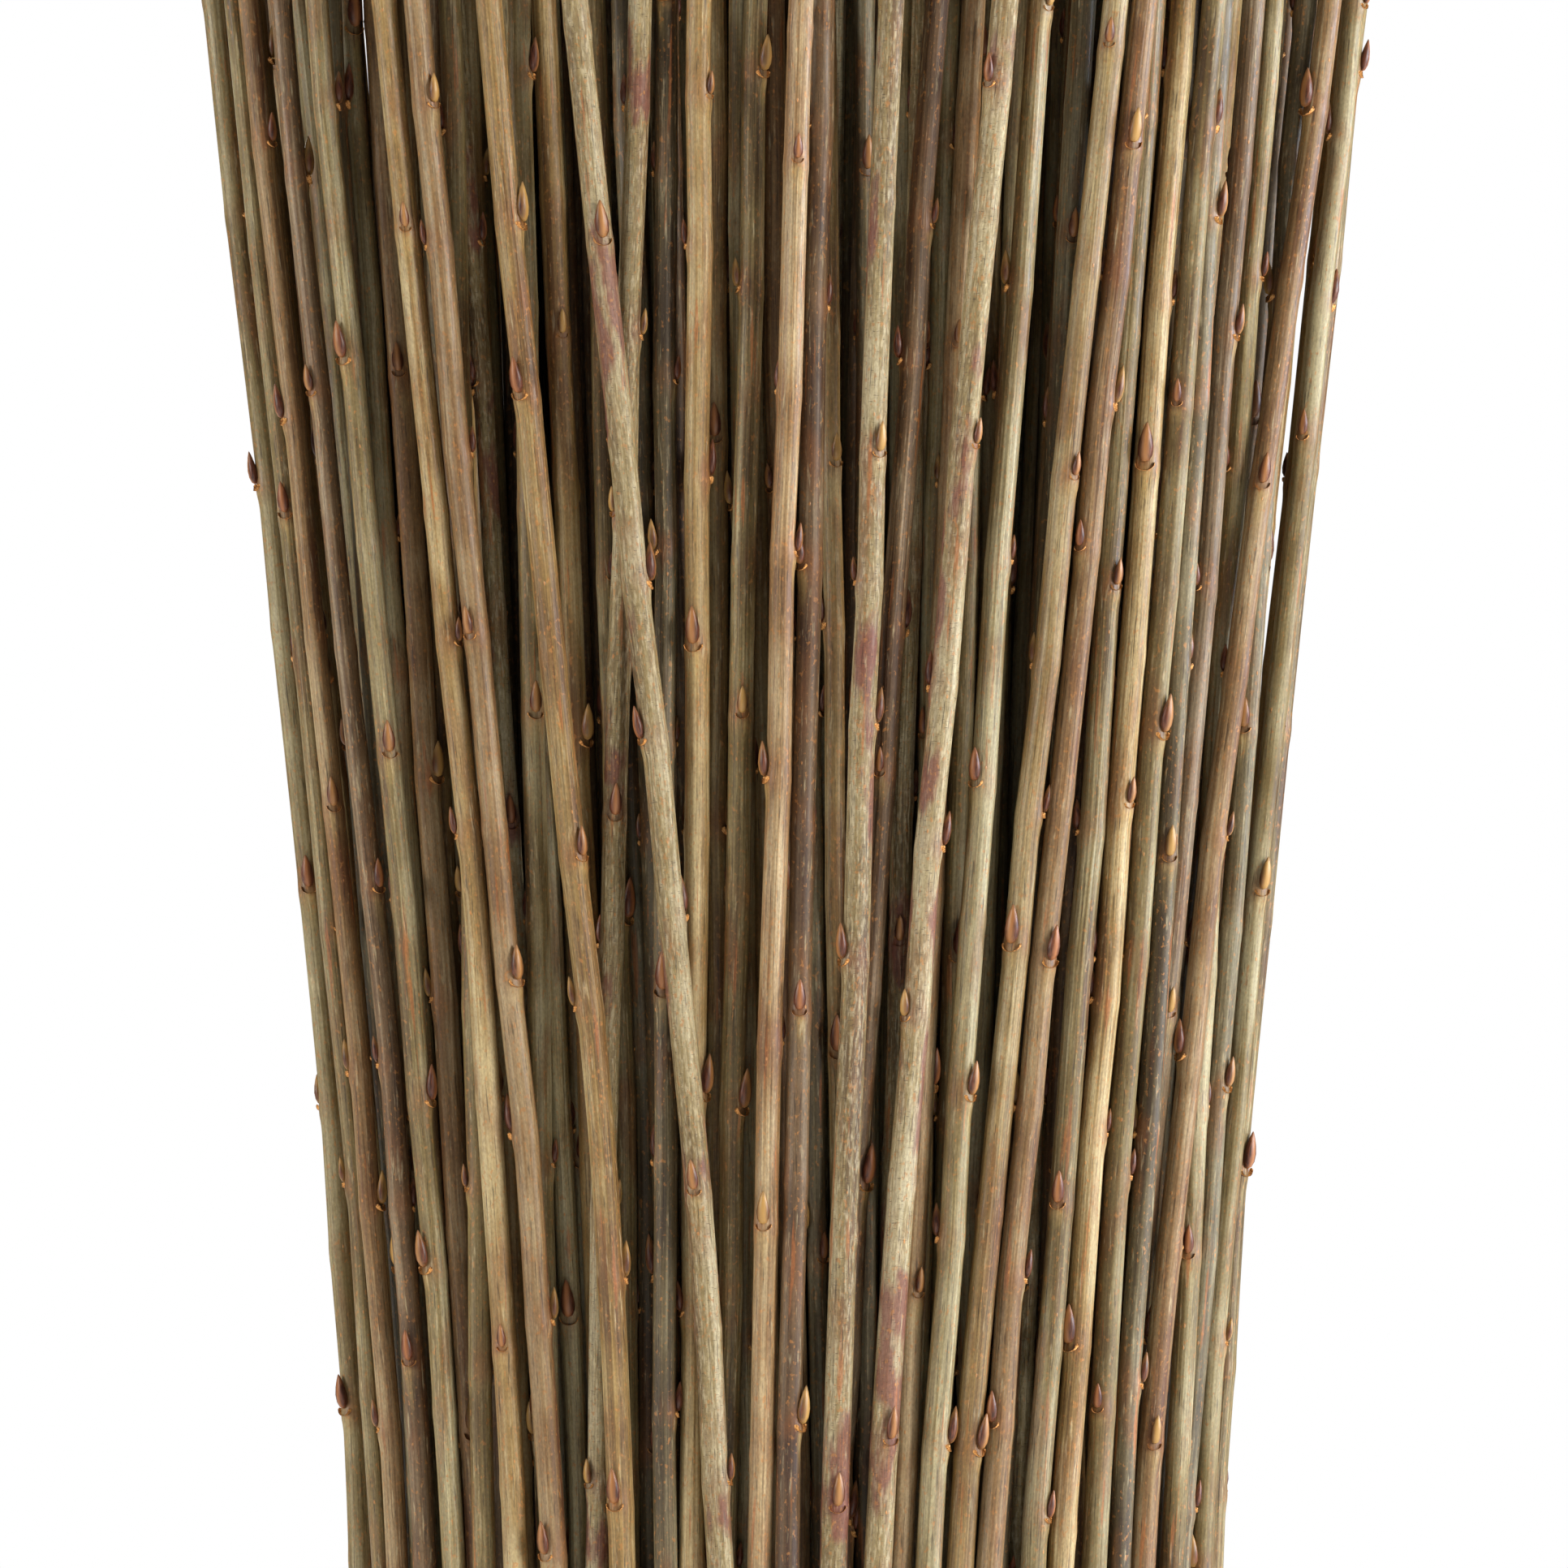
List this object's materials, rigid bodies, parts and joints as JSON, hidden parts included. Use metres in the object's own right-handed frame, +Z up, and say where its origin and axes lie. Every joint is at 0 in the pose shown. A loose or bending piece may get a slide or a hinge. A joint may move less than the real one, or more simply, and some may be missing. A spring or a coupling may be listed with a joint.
{
  "type": "bundle of willow stems",
  "caption": "Tied bundle of cut willow stems with pointed winter buds, gathered at a twine tie and fanning out above it, standing on its level cut ends.",
  "frame": {"origin": "on the ground, under the middle of the bundle's bounding box", "axes": "+Z up along the stems from the cut ends to the tips, -Y towards the front of the bundle, +X to the right seen from the front"},
  "size_m": [0.2226, 0.125, 0.6],
  "materials": {
    "bark_olive": "olive-khaki bark, satin, fine lengthwise wrinkles",
    "bark_tan": "pale tan bark, satin, fine lengthwise wrinkles",
    "bark_pink": "reddish-brown bark, satin, fine lengthwise wrinkles",
    "bark_purple": "dark purple-brown bark, satin",
    "bark_slate": "dark slate-brown bark, satin",
    "bark_grey": "pale grey scurfy bark with red-brown flushes, matt",
    "bark_inner": "mixed olive and brown bark, satin",
    "twine": "plied jute, hairy and matt"
  },
  "bodies": {
    "root": {"front_stem_01": "bark_olive", "front_stem_02": "bark_pink", "front_stem_03": "bark_purple", "front_stem_04": "bark_olive", "front_stem_05": "bark_slate", "front_stem_06": "bark_tan", "front_stem_07": "bark_pink", "front_stem_08": "bark_olive", "front_stem_09": "bark_tan", "front_stem_10": "bark_olive", "front_stem_11": "bark_grey", "front_stem_12": "bark_olive", "front_stem_13": "bark_grey", "front_stem_14": "bark_slate", "front_stem_15": "bark_tan", "front_stem_16": "bark_olive", "front_stem_17": "bark_pink", "front_stem_18": "bark_purple", "front_stem_19": "bark_grey", "front_stem_20": "bark_purple", "front_stem_21": "bark_pink", "front_stem_22": "bark_grey", "front_stem_23": "bark_olive", "front_stem_24": "bark_slate", "front_stem_25": "bark_tan", "front_stem_26": "bark_pink", "front_stem_27": "bark_slate", "front_stem_28": "bark_olive", "front_stem_29": "bark_tan", "front_stem_30": "bark_olive", "front_stem_31": "bark_slate", "front_stem_32": "bark_purple", "front_stem_33": "bark_olive", "front_stem_34": "bark_slate", "front_stem_35": "bark_pink", "front_stem_36": "bark_olive", "back_stem_01": "bark_olive", "back_stem_02": "bark_tan", "back_stem_03": "bark_slate", "back_stem_04": "bark_pink", "back_stem_05": "bark_olive", "back_stem_06": "bark_purple", "back_stem_07": "bark_tan", "back_stem_08": "bark_grey", "back_stem_09": "bark_olive", "back_stem_10": "bark_tan", "back_stem_11": "bark_slate", "back_stem_12": "bark_pink", "back_stem_13": "bark_olive", "back_stem_14": "bark_purple", "back_stem_15": "bark_tan", "back_stem_16": "bark_grey", "back_stem_17": "bark_olive", "back_stem_18": "bark_tan", "back_stem_19": "bark_slate", "back_stem_20": "bark_pink", "back_stem_21": "bark_olive", "inner_stems": "bark_inner", "twine_turns": "twine", "twine_knot": "twine"}
  },
  "joints": []
}
